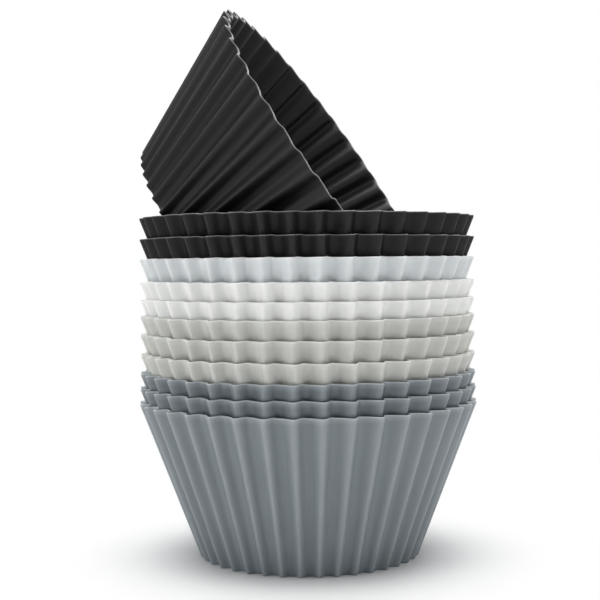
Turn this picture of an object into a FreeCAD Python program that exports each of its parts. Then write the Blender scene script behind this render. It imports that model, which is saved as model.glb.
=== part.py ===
import FreeCAD, Part

import os
from math import atan2, cos, hypot, pi, radians, sin

# A stack of fluted silicone baking cups: eleven nested upright, and one more that leans
# in the mouth of the top one.  Millimetres, +Z up, origin on the axis of the nest, in the
# plane that the lowest cup stands on.  The front of the nest faces -Y.

# One cup, the same for every colour
RIM_DIAMETER = 70.0         # across the flute crests at the mouth
BASE_DIAMETER = 45.2        # across the flute crests at the foot
CUP_HEIGHT = 32.4
FLUTES = 39
FLUTE_DEPTH = 1.75          # crest to valley at the mouth, in step with the radius below
CREST_SHARPNESS = 1.5       # 2 is an even wave, less gives narrow crests and wide valleys
WALL = 1.0                  # along the radius, so that a cup fits in its like
FLOOR = 1.0
FOOT_BEVEL = 0.4            # outer edge of the foot

# How the cups nest
NEST_CLEARANCE = 0.10       # radial gap between two walls that bear on each other
FRONT_CREST = 4.1           # degrees from the front towards +X, lowest cup

# How the last cup leans in the mouth of the top one
LEAN = 34.0                 # its axis above the horizontal, degrees
LEAN_TURN = 15.4            # its mouth faces +X, turned this far towards the front
ROLL = 7.85                 # where its first crest is, about its own axis
SQUEEZE = 0.04              # the soft mouth is this share narrower across the lean
LEAN_CLEARANCE = 0.15       # it is held this far above the first contact

# From the lowest cup up: its name, and how many degrees it is turned from the one below.
# Flutes that don't quite line up hold two cups further apart.
NEST = (
    ("liner_01_slate", 0.0),
    ("liner_02_slate", 0.14),
    ("liner_03_slate", -0.12),
    ("liner_04_light_grey", 0.60),
    ("liner_05_light_grey", -0.75),
    ("liner_06_light_grey", 0.54),
    ("liner_07_white", -0.34),
    ("liner_08_white", 0.47),
    ("liner_09_white", -1.09),
    ("liner_10_black", 0.77),
    ("liner_11_black", -0.89),
)
LEANING_CUP = "liner_12_black_tilted"

STRIPS_PER_FLUTE = 8        # flat strips that draw the curve of one flute
FEELERS_PER_STRIP = 2       # points across a strip that feel for the first contact
FEELER_LEVELS = 60          # and up the wall
SLIDE_STEP = 0.1            # how closely the lowest place of the leaning cup is found

RIM_RADIUS = RIM_DIAMETER / 2
BASE_RADIUS = BASE_DIAMETER / 2
TAPER = (RIM_RADIUS - BASE_RADIUS) / CUP_HEIGHT
DEPTH_SHARE = FLUTE_DEPTH / RIM_RADIUS
STRIPS = FLUTES * STRIPS_PER_FLUTE
STRIP_ANGLE = 2 * pi / STRIPS


def crest_radius(height):
    """Radius of the outer wall's crests at a height above the foot."""
    return BASE_RADIUS + TAPER * height


def crest_share(corner):
    """Radius of a corner between two strips, as a share of the crest radius."""
    half_turn = pi * corner / STRIPS_PER_FLUTE
    return 1 - DEPTH_SHARE * abs(sin(half_turn)) ** CREST_SHARPNESS


CORNERS = [crest_share(corner) for corner in range(STRIPS_PER_FLUTE + 1)]


def wall_share(angle):
    """Radius of the flat strips at an angle from a crest, as a share of the crest radius."""
    place = (angle / STRIP_ANGLE) % STRIPS_PER_FLUTE
    corner = min(int(place), STRIPS_PER_FLUTE - 1)
    along = (place - corner) * STRIP_ANGLE
    near, far = CORNERS[corner], CORNERS[corner + 1]
    return near * far * sin(STRIP_ANGLE) / (near * sin(along) + far * sin(STRIP_ANGLE - along))


def wall_point(height, radius, angle, roll, squeeze):
    """A point of a cup in its own frame, for its crest radius there and an angle.

    The cup is turned by roll in degrees, then narrowed along Y by the share squeeze.
    """
    reach = radius * wall_share(angle - radians(roll))
    x = reach * cos(angle) * (1 + squeeze / 2)
    y = reach * sin(angle) * (1 - squeeze)
    return FreeCAD.Vector(x, y, height)


def wave(height, radius, roll, squeeze):
    """Corners of one closed fluted ring; every ring is a scaled copy of the same wave."""
    turns = [STRIP_ANGLE * step + radians(roll) for step in range(STRIPS)]
    return [wall_point(height, radius, turn, roll, squeeze) for turn in turns]


def strips(lower, upper):
    """Flat faces between two rings."""
    faces = []
    for step in range(STRIPS):
        after = (step + 1) % STRIPS
        corners = [lower[step], lower[after], upper[after], upper[step], lower[step]]
        faces.append(Part.Face(Part.makePolygon(corners)))
    return faces


def flat_face(*rings):
    """Level face inside the first ring, open inside the second if there is one."""
    wires = [Part.makePolygon(ring + ring[:1]) for ring in rings]
    return Part.makeFace(wires, "Part::FaceMakerBullseye")


def cup(roll=0.0, squeeze=0.0):
    """One moulded cup as a single solid, standing on Z = 0 about the Z axis."""
    foot = wave(0.0, crest_radius(FOOT_BEVEL) - FOOT_BEVEL, roll, squeeze)
    heel = wave(FOOT_BEVEL, crest_radius(FOOT_BEVEL), roll, squeeze)
    rim = wave(CUP_HEIGHT, RIM_RADIUS, roll, squeeze)
    mouth = wave(CUP_HEIGHT, RIM_RADIUS - WALL, roll, squeeze)
    floor = wave(FLOOR, crest_radius(FLOOR) - WALL, roll, squeeze)
    faces = strips(foot, heel) + strips(heel, rim) + strips(mouth, floor)
    faces += [flat_face(foot), flat_face(rim, mouth), flat_face(floor)]
    shell = Part.makeShell(faces)
    shell.sewShape()
    solid = Part.makeSolid(shell)
    if solid.Volume < 0:
        solid.reverse()
    return solid


def nest_pitch(turn):
    """How far a cup stands above the one below it, turned by so many degrees from it."""
    mismatch = FLUTE_DEPTH * abs(sin(radians(FLUTES * turn / 2)))
    return (WALL + (NEST_CLEARANCE + mismatch) / (1 - DEPTH_SHARE)) / TAPER


def leaned_skin():
    """Points of the leaning cup's outer wall, leaned towards +X, its foot centre at 0."""
    tip = FreeCAD.Rotation(FreeCAD.Vector(0, 1, 0), 90 - LEAN)
    skin = []
    for level in range(FEELER_LEVELS + 1):
        height = CUP_HEIGHT * level / FEELER_LEVELS
        for step in range(STRIPS * FEELERS_PER_STRIP):
            angle = radians(ROLL) + STRIP_ANGLE * step / FEELERS_PER_STRIP
            point = wall_point(height, crest_radius(height), angle, ROLL, SQUEEZE)
            skin.append(tip.multVec(point))
    return sorted(((point.x, point.y, point.z) for point in skin), key=lambda point: point[2])


def first_contact(skin, slide, crest):
    """Height of the foot centre, above the top cup's foot, where the skin first touches.

    The cavity widens evenly with height, so each point has one height where it touches
    the inner wall, and none needs to be higher than the rim.  The skin is sorted from its
    lowest point up, so the search ends at the first point that is already above the rim.
    """
    highest = 0.0
    for x, y, z in skin:
        if CUP_HEIGHT - z <= highest:
            break
        share = wall_share(atan2(y, x - slide) - crest)
        reach = hypot(x - slide, y) / share
        if reach < RIM_RADIUS:
            height = (reach + WALL - BASE_RADIUS) / TAPER
            highest = max(highest, min(max(height, FLOOR), CUP_HEIGHT) - z)
    return highest


def settle(skin, crest):
    """Slide and height at which the leaning cup lies lowest in the top one."""
    centre, span = BASE_RADIUS, BASE_RADIUS / 4
    while span > SLIDE_STEP:
        trials = (centre, centre - span, centre + span)
        centre = min(trials, key=lambda slide: first_contact(skin, slide, crest))
        span = span / 2
    return centre, first_contact(skin, centre, crest)


def nested_cups():
    """The upright cups as (name, solid), and the top one's foot height and crest angle."""
    upright = cup()
    lift, crest = 0.0, FRONT_CREST - 90.0
    placed = []
    for number, (name, turn) in enumerate(NEST):
        crest += turn
        if number > 0:
            lift += nest_pitch(turn)
        solid = upright.copy()
        turned = FreeCAD.Rotation(FreeCAD.Vector(0, 0, 1), crest)
        solid.Placement = FreeCAD.Placement(FreeCAD.Vector(0, 0, lift), turned)
        placed.append((name, solid))
    return placed, lift, crest


def leaning_cup(top_foot, top_crest):
    """The last cup, leaned, lowered into the mouth of the top one and turned to the front."""
    slide, height = settle(leaned_skin(), radians(top_crest + LEAN_TURN))
    tip = FreeCAD.Rotation(FreeCAD.Vector(0, 1, 0), 90 - LEAN)
    turn = FreeCAD.Rotation(FreeCAD.Vector(0, 0, 1), -LEAN_TURN)
    foot = FreeCAD.Vector(-slide, 0, top_foot + height + LEAN_CLEARANCE)
    solid = cup(ROLL, SQUEEZE)
    solid.Placement = FreeCAD.Placement(turn.multVec(foot), turn.multiply(tip))
    print(f"leaning cup: foot centre {turn.multVec(foot)}, slide {slide:.2f}")
    return solid


def main():
    """Build every cup and write each to its own file."""
    os.makedirs("parts", exist_ok=True)
    cups, top_foot, top_crest = nested_cups()
    cups.append((LEANING_CUP, leaning_cup(top_foot, top_crest)))
    for name, solid in cups:
        box = solid.BoundBox
        print(f"{name}: {solid.Volume:.0f} mm3, Z {box.ZMin:.2f} to {box.ZMax:.2f}")
        solid.exportStep(f"parts/{name}.step")


main()
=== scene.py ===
"""A nest of moulded silicone baking cups, with one more cup leaning in its mouth.

The classes hold their sizes in millimetres, as a mould maker would, and turn them into
metres where a ring of the mesh is placed.  Angles are in degrees.
"""

from __future__ import annotations

import logging
import math
from dataclasses import dataclass, field, replace
from enum import Enum

import bmesh
import bpy
from mathutils import Matrix, Vector, noise


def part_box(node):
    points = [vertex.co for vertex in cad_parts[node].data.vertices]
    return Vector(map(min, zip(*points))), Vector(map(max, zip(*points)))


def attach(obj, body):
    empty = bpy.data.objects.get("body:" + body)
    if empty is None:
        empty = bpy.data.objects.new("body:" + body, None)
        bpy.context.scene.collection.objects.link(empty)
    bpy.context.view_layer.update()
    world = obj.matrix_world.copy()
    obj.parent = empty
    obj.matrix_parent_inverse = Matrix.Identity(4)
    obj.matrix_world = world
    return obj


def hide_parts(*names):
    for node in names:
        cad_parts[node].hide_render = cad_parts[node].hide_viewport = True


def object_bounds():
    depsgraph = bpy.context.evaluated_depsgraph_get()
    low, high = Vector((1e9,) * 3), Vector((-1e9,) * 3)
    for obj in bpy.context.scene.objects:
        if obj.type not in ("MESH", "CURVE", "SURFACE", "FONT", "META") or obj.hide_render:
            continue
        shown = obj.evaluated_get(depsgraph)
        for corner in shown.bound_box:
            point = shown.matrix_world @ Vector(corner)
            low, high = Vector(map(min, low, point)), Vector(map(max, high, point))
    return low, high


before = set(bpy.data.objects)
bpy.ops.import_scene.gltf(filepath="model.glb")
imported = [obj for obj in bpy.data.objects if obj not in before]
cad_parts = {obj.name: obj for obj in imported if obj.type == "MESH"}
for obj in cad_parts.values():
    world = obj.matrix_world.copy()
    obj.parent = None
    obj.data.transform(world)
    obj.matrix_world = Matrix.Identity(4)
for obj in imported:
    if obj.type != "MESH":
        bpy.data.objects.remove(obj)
CAD_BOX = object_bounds()

MM = 0.001
BODY = "root"
# Names of the vertex masks for the painted rim and crest highlights
RIM_HIGHLIGHT = "painted_rim_highlight"
CREST_HIGHLIGHT = "crest_highlight"
log = logging.getLogger("baking_cups")


def linear(colour: str) -> tuple[float, float, float, float]:
    """Turn an sRGB hex colour into the linear colour that a shader socket takes.

    Args:
        colour: Six hex digits, such as "8a9095".

    Returns:
        Red, green, blue and an alpha of 1.
    """
    shares = [int(colour[place:place + 2], 16) / 255 for place in (0, 2, 4)]
    curved = [s / 12.92 if s <= 0.04045 else ((s + 0.055) / 1.055) ** 2.4 for s in shares]
    return (curved[0], curved[1], curved[2], 1.0)


def add_node(tree: bpy.types.NodeTree, kind: str, settings: dict | None = None,
             **links: object) -> bpy.types.Node:
    """Add one node with its settings and the values or links of its sockets.

    Args:
        tree: The material's or the world's node tree.
        kind: The node's type name.
        settings: Properties of the node, and under "values" its sockets' numbers by name.
        links: Sockets by name, with spaces as underscores, and the output each one takes.

    Returns:
        The new node.
    """
    node = tree.nodes.new(kind)
    for name, value in (settings or {}).items():
        if name == "values":
            for socket, number in value.items():
                node.inputs[socket].default_value = number
        else:
            setattr(node, name, value)
    for name, output in links.items():
        tree.links.new(output, node.inputs[name.replace("_", " ")])
    return node


def sort_parts(bm: bmesh.types.BMesh) -> None:
    """Put a mesh's edges and faces in the order of their corners.

    Blender makes the faces between two rings in no fixed order; this gives the same mesh
    on each run.
    """
    bm.verts.index_update()
    count = len(bm.verts)

    def order(part: bmesh.types.BMEdge | bmesh.types.BMFace) -> int:
        corners = [vert.index for vert in part.verts]
        return min(corners) * count + max(corners)

    for parts in (bm.edges, bm.faces):
        parts.sort(key=order)
        parts.index_update()


@dataclass(frozen=True)
class SiliconeFinish:
    """Platinum-cured silicone rubber, pigmented, as it leaves a fine-blasted mould."""

    name: str
    slot: str
    pigment: str
    thin_pigment: str
    # The third pigment is painted on the rim and on the crests as a highlight
    highlight_pigment: str
    roughness: float
    haze: float
    depth_glow: float
    glow_reach_mm: float = 1.2
    shine: float = 0.5
    rim_highlight_power: float = 1.0
    # Share of the pale pigment painted on the crests as a highlight
    crest_highlight: float = 0.0
    mottle_mm: float = 9.0
    mottle_detail: float = 3.0
    roughness_swing: float = 0.05
    grain_mm: float = 0.45
    grain_detail: float = 2.0
    grain_height_mm: float = 0.012
    grain_strength: float = 0.35
    haze_roughness: float = 0.5
    glow_tint: tuple[float, float, float] = (1.0, 0.9, 0.8)
    refraction: float = 1.41

    def material(self) -> bpy.types.Material:
        """Make the finish's material, or give back the one already made.

        Returns:
            The procedural material.
        """
        made = bpy.data.materials.get(self.name)
        if made:
            return made
        # Moulded silicone reads as a soft satin: a broad dull highlight with no sharp
        # reflection, a slight powdery haze at grazing angles, light that sinks in a little
        # at thin edges, and a faint unevenness of pigment.  Paler colour painted on the rim
        # and on the crests stands in for their highlights.
        made = bpy.data.materials.new(self.name)
        made.use_nodes = True
        tree = made.node_tree
        tree.nodes.clear()
        place = add_node(tree, "ShaderNodeTexCoord").outputs["Object"]
        mottle = add_node(tree, "ShaderNodeTexNoise", {
            "values": {"Scale": 1 / (self.mottle_mm * MM), "Detail": self.mottle_detail},
        }, Vector=place)
        colour = add_node(tree, "ShaderNodeMix", {
            "data_type": "RGBA",
            "values": {6: linear(self.pigment), 7: linear(self.thin_pigment)},
        }, Factor=mottle.outputs["Fac"])
        # Painted highlight: the crests of the flutes are painted paler than their flanks
        crests = add_node(tree, "ShaderNodeAttribute", {"attribute_name": CREST_HIGHLIGHT})
        crest_lit = add_node(tree, "ShaderNodeMath", {
            "operation": "MULTIPLY", "values": {1: self.crest_highlight},
        })
        tree.links.new(crests.outputs["Fac"], crest_lit.inputs[0])
        body = add_node(tree, "ShaderNodeMix", {
            "data_type": "RGBA", "values": {7: linear(self.highlight_pigment)},
        }, Factor=crest_lit.outputs["Value"])
        tree.links.new(colour.outputs[2], body.inputs[6])
        # Painted highlight: the rounded rim is painted paler, fading in just below it
        rim_light = add_node(tree, "ShaderNodeAttribute", {"attribute_name": RIM_HIGHLIGHT})
        edge = add_node(tree, "ShaderNodeMath", {
            "operation": "POWER", "values": {1: self.rim_highlight_power},
        })
        tree.links.new(rim_light.outputs["Fac"], edge.inputs[0])
        highlighted = add_node(tree, "ShaderNodeMix", {
            "data_type": "RGBA", "values": {7: linear(self.highlight_pigment)},
        }, Factor=edge.outputs["Value"])
        tree.links.new(body.outputs[2], highlighted.inputs[6])
        # The blasted grain is finer than 0.1 mm; it is drawn coarser so that it shows
        grain = add_node(tree, "ShaderNodeTexNoise", {
            "values": {"Scale": 1 / (self.grain_mm * MM), "Detail": self.grain_detail},
        }, Vector=place)
        bump = add_node(tree, "ShaderNodeBump", {
            "values": {"Strength": self.grain_strength, "Distance": self.grain_height_mm * MM},
        }, Height=grain.outputs["Fac"])
        gloss = add_node(tree, "ShaderNodeMapRange", {
            "values": {
                "To Min": self.roughness - self.roughness_swing,
                "To Max": self.roughness + self.roughness_swing,
            },
        }, Value=mottle.outputs["Fac"])
        skin = add_node(tree, "ShaderNodeBsdfPrincipled", {
            "values": {
                "IOR": self.refraction,
                "Specular IOR Level": self.shine,
                "Sheen Weight": self.haze,
                "Sheen Roughness": self.haze_roughness,
                "Subsurface Weight": self.depth_glow,
                "Subsurface Radius": self.glow_tint,
                "Subsurface Scale": self.glow_reach_mm * MM,
            },
        }, Base_Color=highlighted.outputs[2], Roughness=gloss.outputs["Result"],
            Normal=bump.outputs["Normal"])
        add_node(tree, "ShaderNodeOutputMaterial", Surface=skin.outputs["BSDF"])
        return made


class Tint(Enum):
    """The colours that the cups are moulded in."""

    SLATE = SiliconeFinish("Moulded silicone, slate, satin", "slate_silicone",
                           "7e878c", "878f94", "bac0c4", roughness=0.38, haze=0.05,
                           depth_glow=0.1, crest_highlight=0.26)
    # Painted shade: the same slate, darker, for the two cups whose short bands sit recessed
    # between rims
    SHADED_SLATE = SiliconeFinish("Moulded silicone, slate with painted shade, satin", "slate_silicone",
                                "697278", "717a7f", "b2b8bc", roughness=0.38, haze=0.05,
                                depth_glow=0.1, crest_highlight=0.24)
    LIGHT_GREY = SiliconeFinish("Moulded silicone, light grey, satin", "light_grey_silicone",
                                "c8c9c4", "cdcec9", "e4e5e1", roughness=0.4, haze=0.05,
                                depth_glow=0.2)
    WHITE = SiliconeFinish("Moulded silicone, white, satin", "white_silicone",
                           "eff0ed", "f2f3f0", "fafaf8", roughness=0.45, haze=0.05,
                           depth_glow=0.3)
    COOL_WHITE = SiliconeFinish("Moulded silicone, cool white, satin", "white_silicone",
                                "d9dee0", "e1e5e7", "f6f7f8", roughness=0.42, haze=0.05,
                                depth_glow=0.3)
    BLACK = SiliconeFinish("Moulded silicone, black, satin", "black_silicone",
                           "161616", "1b1b1b", "a4a4a4", roughness=0.42, haze=0.0,
                           depth_glow=0.0, shine=0.25, rim_highlight_power=4.0, crest_highlight=0.025)


@dataclass(frozen=True)
class Ring:
    """One ring of a cup's section: its crest radius, height and flute depth, in mm.

    The last two numbers, each from 0 to 1, say how far the ring has the painted rim
    highlight and how far its crests have the painted crest highlight.
    """

    radius: float
    height: float
    depth: float
    rim_light: float = 0.0
    crest_light: float = 0.0


@dataclass(frozen=True)
class Pressing:
    """How one cup differs from the mould: by its turn, how it is pressed, and by chance.

    The roll is about its own axis, the squeeze is the share by which it is narrower along
    its own Y, and the spread is added to its radius.
    """

    roll: float = 0.0
    squeeze: float = 0.0
    spread: float = 0.0
    seed: int = 0


@dataclass
class CupMould:
    """The shape of one cup, the same for every colour; its own axis is +Z from its foot.

    A higher ridge power makes the crests narrower, and the skew moves them to one side.  The
    rim dips by the cusp between small peaks, one on a flank of each crest, and by up to the
    sag at random.
    """

    rim_radius: float = 35.0
    base_radius: float = 22.6
    height: float = 32.4
    flutes: int = 39
    rim_depth: float = 2.3
    base_depth: float = 1.4
    wall: float = 0.75
    floor: float = 1.0
    foot_round: float = 0.4
    rim_round: float = 0.33
    # Below the rim the painted rim highlight fades in over this height, then starts at the
    # edge share
    rim_highlight_fade: float = 1.0
    rim_highlight_edge: float = 0.3
    floor_round: float = 1.4
    rim_ridge: float = 1.7
    base_ridge: float = 2.4
    rim_skew: float = 0.3
    rim_cusp: float = 0.12
    cusp_power: int = 6
    # Power that narrows the painted highlight on the crests
    crest_light_power: float = 1.6
    steps_per_flute: int = 16
    wall_rows: int = 9
    round_rows: int = 3
    depth_unevenness: float = 0.14
    rim_sag: float = 0.10
    sag_power: int = 12
    chance_reach: float = 5.0
    chance_step: float = 7.3
    sag_stretch: float = 0.6
    floor_shares: tuple[float, ...] = (0.97, 0.9, 0.6, 0.25)
    floor_fade: int = 3

    def crest(self, height: float) -> float:
        """Radius of the outer wall's crests at a height."""
        return self.base_radius + (self.rim_radius - self.base_radius) * height / self.height

    def depth(self, height: float) -> float:
        """Depth of the flutes, crest to valley, at a height."""
        return self.base_depth + (self.rim_depth - self.base_depth) * height / self.height

    def disc(self, radius: float, height: float, depth: float) -> list[Ring]:
        """Rings of a level disc, from its edge inwards; the flutes die out on the way."""
        return [Ring(radius * share, height, depth * share ** self.floor_fade)
                for share in self.floor_shares]

    def quarter(self) -> list[float]:
        """Angles of a rounded edge's rings, from 0 to a right angle, in radians."""
        return [math.pi / 2 * row / self.round_rows for row in range(self.round_rows + 1)]

    def wall_heights(self, low: float, high: float) -> list[float]:
        """Heights of the rings between two heights, both left out."""
        gap = (high - low) / (self.wall_rows + 1)
        return [low + gap * (row + 1) for row in range(self.wall_rows)]

    def outside(self) -> list[Ring]:
        """Rings from the middle of the underside, round the foot and up to the rim."""
        foot = self.foot_round
        rings = self.disc(self.crest(foot) - foot, 0.0, self.depth(0.0))[::-1]
        for turn in self.quarter():
            height = foot * (1 - math.cos(turn))
            reach = self.crest(foot) - foot * (1 - math.sin(turn))
            rings.append(Ring(reach, height, self.depth(height), crest_light=1.0))
        fade = self.height - self.rim_round - self.rim_highlight_fade
        for height in self.wall_heights(foot, fade) + [fade]:
            rings.append(Ring(self.crest(height), height, self.depth(height), crest_light=1.0))
        return rings + self.rim(outer=True)

    def rim(self, outer: bool) -> list[Ring]:
        """Rings of one half of the rounded rim, upwards.

        Args:
            outer: Whether it is the half on the outer wall.

        Returns:
            The rings, with more of the painted rim highlight the higher they are.
        """
        rings = []
        for turn in self.quarter():
            height = self.height - self.rim_round * (1 - math.sin(turn))
            inset = self.rim_round * (1 - math.cos(turn))
            reach = self.crest(height) - (inset if outer else self.wall - inset)
            rim_light = self.rim_highlight_edge + (1 - self.rim_highlight_edge) * math.sin(turn)
            rings.append(Ring(reach, height, self.depth(height), rim_light, crest_light=float(outer)))
        return rings

    def inside(self) -> list[Ring]:
        """Rings from the rim down the inner wall, round the corner and across the floor."""
        rings = self.rim(outer=False)[::-1]
        low = self.floor + self.floor_round
        fade = self.height - self.rim_round - self.rim_highlight_fade
        for height in [fade] + self.wall_heights(low, fade)[::-1]:
            rings.append(Ring(self.crest(height) - self.wall, height, self.depth(height)))
        for turn in self.quarter():
            height = low - self.floor_round * math.sin(turn)
            reach = self.crest(height) - self.wall - self.floor_round * (1 - math.cos(turn))
            rings.append(Ring(reach, height, self.depth(height)))
        edge = rings[-1]
        return rings + self.disc(edge.radius, edge.height, edge.depth)

    def drop(self, turn: float, share: float) -> float:
        """Share of the flute depth lost from the crest, at an angle and a share of the height.

        Args:
            turn: The angle from a crest, in radians.
            share: The place up the wall, 0 at the foot and 1 at the rim.

        Returns:
            0 on a crest and 1 in a valley; a higher ridge power makes the crest narrower.
        """
        ridge = self.base_ridge + (self.rim_ridge - self.base_ridge) * share
        phase = self.flutes * turn
        phase += self.rim_skew * share * (1 - math.cos(phase))
        return 1 - ((1 + math.cos(phase)) / 2) ** ridge

    def cusp(self, turn: float) -> float:
        """Share of the small peak that the rim has on one flank of each crest."""
        return ((1 + math.sin(self.flutes * turn)) / 2) ** self.cusp_power

    def place_ring(self, bm: bmesh.types.BMesh, verts: list[bmesh.types.BMVert],
                   ring: Ring, cup: Pressing) -> None:
        """Move one ring of vertices to its fluted place.

        Args:
            bm: The cup's mesh so far.
            verts: The ring's vertices, whose angles about the axis are already right.
            ring: The ring's sizes.
            cup: How this cup differs from the mould.
        """
        share = ring.height / self.height
        wide_x, wide_y = 1 + cup.squeeze / 2, 1 - cup.squeeze
        rim_lit = bm.verts.layers.float[RIM_HIGHLIGHT]
        crest_lit = bm.verts.layers.float[CREST_HIGHLIGHT]
        for vert in verts:
            turn = math.atan2(vert.co.y / wide_y, vert.co.x / wide_x)
            from_crest = turn - math.radians(cup.roll)
            # A walk round a circle in the noise, so that it closes; each cup has its own level
            spot = Vector((math.cos(turn) * self.chance_reach,
                           math.sin(turn) * self.chance_reach, cup.seed * self.chance_step))
            uneven = 1 - self.depth_unevenness * abs(noise.noise(spot))
            slump = self.rim_sag * abs(noise.noise(spot * self.sag_stretch))
            sag = self.rim_cusp * (1 - self.cusp(from_crest)) + slump
            lost = self.drop(from_crest, share)
            reach = ring.radius + cup.spread - ring.depth * uneven * lost
            vert.co.x = reach * math.cos(turn) * wide_x * MM
            vert.co.y = reach * math.sin(turn) * wide_y * MM
            vert.co.z = (ring.height - sag * share ** self.sag_power) * MM
            # Masks for the painted highlights: on the rim by the ring, on the crests by
            # nearness to a crest
            vert[rim_lit] = ring.rim_light
            vert[crest_lit] = ring.crest_light * (1 - lost) ** self.crest_light_power

    def mesh(self, name: str, cup: Pressing) -> bpy.types.Mesh:
        """Draw the cup's section ring by ring and close it at both discs.

        Args:
            name: Name of the mesh.
            cup: How this cup differs from the mould.

        Returns:
            The closed, smooth-shaded mesh, standing on Z = 0.
        """
        first, *others = self.outside() + self.inside()
        bm = bmesh.new()
        bm.verts.layers.float.new(RIM_HIGHLIGHT)
        bm.verts.layers.float.new(CREST_HIGHLIGHT)
        circle = bmesh.ops.create_circle(bm, cap_ends=True, radius=first.radius * MM,
                                         segments=self.flutes * self.steps_per_flute)
        edges = list(bm.edges)
        bmesh.ops.scale(bm, vec=(1 + cup.squeeze / 2, 1 - cup.squeeze, 1),
                        verts=circle["verts"])
        self.place_ring(bm, circle["verts"], first, cup)
        for ring in others:
            made = bmesh.ops.extrude_edge_only(bm, edges=edges)["geom"]
            verts = [part for part in made if isinstance(part, bmesh.types.BMVert)]
            fresh = set(verts)
            edges = [part for part in made if isinstance(part, bmesh.types.BMEdge)
                     and fresh.issuperset(part.verts)]
            self.place_ring(bm, verts, ring, cup)
        bmesh.ops.contextual_create(bm, geom=edges)
        bmesh.ops.recalc_face_normals(bm, faces=list(bm.faces))
        for face in bm.faces:
            face.smooth = True
        sort_parts(bm)
        mesh = bpy.data.meshes.new(name)
        bm.to_mesh(mesh)
        bm.free()
        return mesh


@dataclass
class Cup:
    """One moulded cup that stands for a node of the frame."""

    node: str
    tint: Tint
    mould: CupMould

    def dress(self, mesh: bpy.types.Mesh) -> bpy.types.Object:
        """Put the finished mesh in the scene as the node's piece.

        Args:
            mesh: The cup's mesh, already in its place.

        Returns:
            The cup's object.
        """
        mesh.materials.append(self.tint.value.material())
        piece = bpy.data.objects.new(f"{self.node}_moulded", mesh)
        bpy.context.scene.collection.objects.link(piece)
        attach(piece, BODY)
        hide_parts(self.node)
        return piece


@dataclass
class NestedCup(Cup):
    """A cup that stands upright in the nest, turned about its axis."""

    crest: float = 0.0
    cup: Pressing = Pressing()

    def build(self) -> bpy.types.Object:
        """Make the cup where the frame has its foot.

        Returns:
            The cup's object.
        """
        mesh = self.mould.mesh(self.node, self.cup)
        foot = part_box(self.node)[0].z
        turn = Matrix.Rotation(math.radians(self.crest), 4, "Z")
        mesh.transform(Matrix.Translation((0, 0, foot)) @ turn)
        return self.dress(mesh)


@dataclass
class LeaningCup(Cup):
    """The loose cup, leaning in the mouth of the top one and pressed a little oval."""

    lean: float = 34.0
    lean_turn: float = 15.4
    cup: Pressing = Pressing(roll=7.4, squeeze=0.04, spread=-0.15, seed=12)

    def build(self) -> bpy.types.Object:
        """Make the cup, lean it, and centre it where the frame has it.

        Returns:
            The cup's object.
        """
        mesh = self.mould.mesh(self.node, self.cup)
        tip = Matrix.Rotation(math.radians(90 - self.lean), 4, "Y")
        turn = Matrix.Rotation(math.radians(-self.lean_turn), 4, "Z")
        mesh.transform(turn @ tip)
        corners = [Vector(vert.co) for vert in mesh.vertices]
        low = Vector(min(corner[axis] for corner in corners) for axis in range(3))
        high = Vector(max(corner[axis] for corner in corners) for axis in range(3))
        node_low, node_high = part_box(self.node)
        mesh.transform(Matrix.Translation((node_low + node_high - low - high) / 2))
        return self.dress(mesh)


@dataclass
class CupNest:
    """The eleven nested cups, lowest first, and how far each is turned from the last."""

    front_crest: float = 4.4
    spreads: tuple[float, ...] = (0.35, 0.2, 0.1)
    turns: tuple[tuple[str, Tint, float], ...] = (
        ("liner_01_slate", Tint.SLATE, 0.0),
        ("liner_02_slate", Tint.SHADED_SLATE, 0.14),
        ("liner_03_slate", Tint.SHADED_SLATE, -0.12),
        ("liner_04_light_grey", Tint.LIGHT_GREY, 0.60),
        ("liner_05_light_grey", Tint.LIGHT_GREY, -0.75),
        ("liner_06_light_grey", Tint.LIGHT_GREY, 0.50),
        ("liner_07_white", Tint.WHITE, -0.30),
        ("liner_08_white", Tint.WHITE, 0.47),
        ("liner_09_white", Tint.COOL_WHITE, -1.09),
        ("liner_10_black", Tint.BLACK, 0.68),
        ("liner_11_black", Tint.BLACK, -0.80),
    )
    mould: CupMould = field(default_factory=CupMould)

    def build(self) -> list[bpy.types.Object]:
        """Make every nested cup.

        Returns:
            The cups' objects, lowest first.
        """
        crest = self.front_crest - 90.0
        pieces = []
        for number, (node, tint, turn) in enumerate(self.turns):
            crest += turn
            spread = self.spreads[number] if number < len(self.spreads) else 0.0
            cup = Pressing(spread=spread, seed=number)
            pieces.append(NestedCup(node, tint, self.mould, crest, cup).build())
        return pieces


@dataclass(frozen=True)
class Viewpoint:
    """The camera, fitted to the photograph's rims; places are in metres."""

    place: tuple[float, float, float] = (-0.00151, -0.2575, 0.06066)
    pitch_down: float = 1.68
    roll: float = 0.5725
    focal_px: float = 1224.0
    frame_px: float = 600.0
    sensor_mm: float = 36.0
    nearest: float = 0.01

    def build(self) -> None:
        """Set the scene's camera, looking along +Y."""
        data = bpy.data.cameras.new("photo_view")
        data.sensor_width = self.sensor_mm
        data.lens = self.sensor_mm * self.focal_px / self.frame_px
        data.clip_start = self.nearest
        camera = bpy.data.objects.new("photo_view", data)
        bpy.context.scene.collection.objects.link(camera)
        pitch = Matrix.Rotation(math.radians(90 - self.pitch_down), 4, "X")
        roll = Matrix.Rotation(math.radians(-self.roll), 4, "Z")
        camera.matrix_world = Matrix.Translation(self.place) @ pitch @ roll
        bpy.context.scene.camera = camera


@dataclass(frozen=True)
class SoftBox:
    """One square lamp: where it hangs, what it faces, its side in metres and its power."""

    name: str
    place: tuple[float, float, float]
    side: float
    watts: float

    def build(self, aim: Vector) -> None:
        """Hang the lamp so that it faces a point."""
        data = bpy.data.lights.new(self.name, "AREA")
        data.size = self.side
        data.energy = self.watts
        lamp = bpy.data.objects.new(self.name, data)
        bpy.context.scene.collection.objects.link(lamp)
        lamp.location = self.place
        lamp.rotation_euler = (aim - Vector(self.place)).to_track_quat("-Z", "Y").to_euler()


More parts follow.
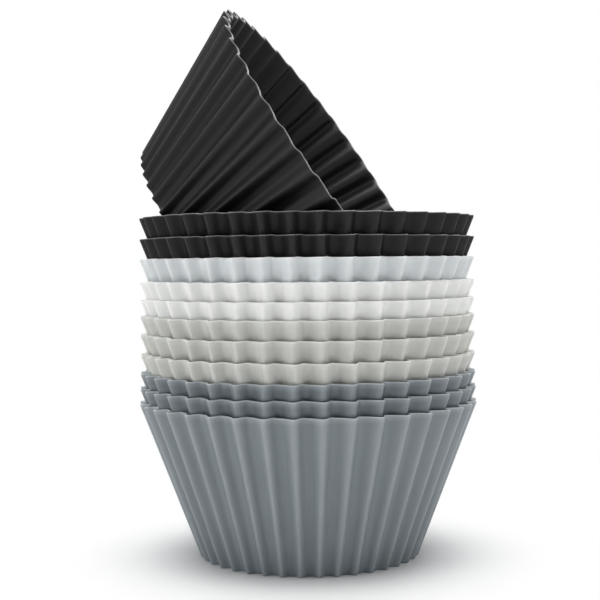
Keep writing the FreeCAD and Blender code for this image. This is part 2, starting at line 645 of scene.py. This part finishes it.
@dataclass(frozen=True)
class Studio:
    """A pale floor, soft lamps and a white surround, which are not part of the object."""

    floor_side: float = 4.0
    floor_colour: str = "f2f2f2"
    clear_radius: float = 0.023
    white_radius: float = 0.062
    ambient: float = 0.14
    lamps: tuple[SoftBox, ...] = (
        SoftBox("overhead", (0.0, 0.05, 0.8), 0.9, 10.6),
        SoftBox("right_side", (0.72, -0.40, 0.0), 0.5, 1.7),
        SoftBox("left_side", (-0.72, -0.40, 0.10), 0.5, 2.1),
    )

    def build(self) -> None:
        """Lay the floor, light the world and hang the lamps."""
        self.lay_floor()
        self.light_world()
        low, high = CAD_BOX
        aim = (low + high) / 2
        for lamp in self.lamps:
            lamp.build(aim)
        bpy.context.scene.view_settings.view_transform = "Standard"

    def lay_floor(self) -> None:
        """Lay a matt paper floor that goes over to plain white away from the object."""
        bm = bmesh.new()
        bmesh.ops.create_grid(bm, x_segments=1, y_segments=1, size=self.floor_side / 2)
        mesh = bpy.data.meshes.new("paper_floor")
        bm.to_mesh(mesh)
        bm.free()
        paper = bpy.data.materials.new("Matt white paper")
        paper.use_nodes = True
        tree = paper.node_tree
        tree.nodes.clear()
        # Matt paper: no highlight, only the object's soft shadow near the foot
        place = add_node(tree, "ShaderNodeTexCoord").outputs["Object"]
        reach = add_node(tree, "ShaderNodeVectorMath", {"operation": "LENGTH"}, Vector=place)
        far = add_node(tree, "ShaderNodeMapRange", {
            "interpolation_type": "SMOOTHSTEP",
            "values": {"From Min": self.clear_radius, "From Max": self.white_radius},
        }, Value=reach.outputs["Value"])
        ray = add_node(tree, "ShaderNodeLightPath")
        white = add_node(tree, "ShaderNodeEmission", {"values": {"Strength": 1.0}})
        matt = add_node(tree, "ShaderNodeBsdfDiffuse", {
            "values": {"Color": linear(self.floor_colour)},
        })
        share = add_node(tree, "ShaderNodeMath", {"operation": "MULTIPLY"})
        tree.links.new(far.outputs["Result"], share.inputs[0])
        tree.links.new(ray.outputs["Is Camera Ray"], share.inputs[1])
        mix = add_node(tree, "ShaderNodeMixShader", Fac=share.outputs["Value"])
        tree.links.new(matt.outputs["BSDF"], mix.inputs[1])
        tree.links.new(white.outputs["Emission"], mix.inputs[2])
        add_node(tree, "ShaderNodeOutputMaterial", Surface=mix.outputs["Shader"])
        mesh.materials.append(paper)
        floor = bpy.data.objects.new("paper_floor", mesh)
        bpy.context.scene.collection.objects.link(floor)

    def light_world(self) -> None:
        """Surround the scene with even light that looks white to the camera and in gloss."""
        world = bpy.data.worlds.new("white_surround")
        world.use_nodes = True
        bpy.context.scene.world = world
        tree = world.node_tree
        tree.nodes.clear()
        ray = add_node(tree, "ShaderNodeLightPath")
        seen = ray.outputs["Is Camera Ray"]
        for kind in ("Is Glossy Ray", "Is Transmission Ray"):
            both = add_node(tree, "ShaderNodeMath", {"operation": "MAXIMUM"})
            tree.links.new(seen, both.inputs[0])
            tree.links.new(ray.outputs[kind], both.inputs[1])
            seen = both.outputs["Value"]
        even = add_node(tree, "ShaderNodeBackground", {"values": {"Strength": self.ambient}})
        white = add_node(tree, "ShaderNodeBackground", {"values": {"Strength": 1.0}})
        for light in (even, white):
            light.inputs["Color"].default_value = linear("ffffff")
        mix = add_node(tree, "ShaderNodeMixShader", Fac=seen)
        tree.links.new(even.outputs["Background"], mix.inputs[1])
        tree.links.new(white.outputs["Background"], mix.inputs[2])
        add_node(tree, "ShaderNodeOutputWorld", Surface=mix.outputs["Shader"])


def main() -> None:
    """Build the camera, the nest, the leaning cup and the studio, and report each piece."""
    logging.basicConfig(level=logging.INFO, format="%(message)s")
    Viewpoint().build()
    nest = CupNest()
    pieces = nest.build()
    # The loose cup shows its whole wall, so it is drawn in finer steps.  It is pressed open
    # where it leans, which leaves its flutes shallower at the rim.
    loose = replace(nest.mould, rim_depth=1.7, steps_per_flute=20, wall_rows=16)
    pieces.append(LeaningCup("liner_12_black_tilted", Tint.BLACK, loose).build())
    for piece in pieces:
        log.info("%s: %d faces, %s", piece.name, len(piece.data.polygons),
                 piece.data.materials[0].name)
    Studio().build()


if __name__ == "__main__":
    main()
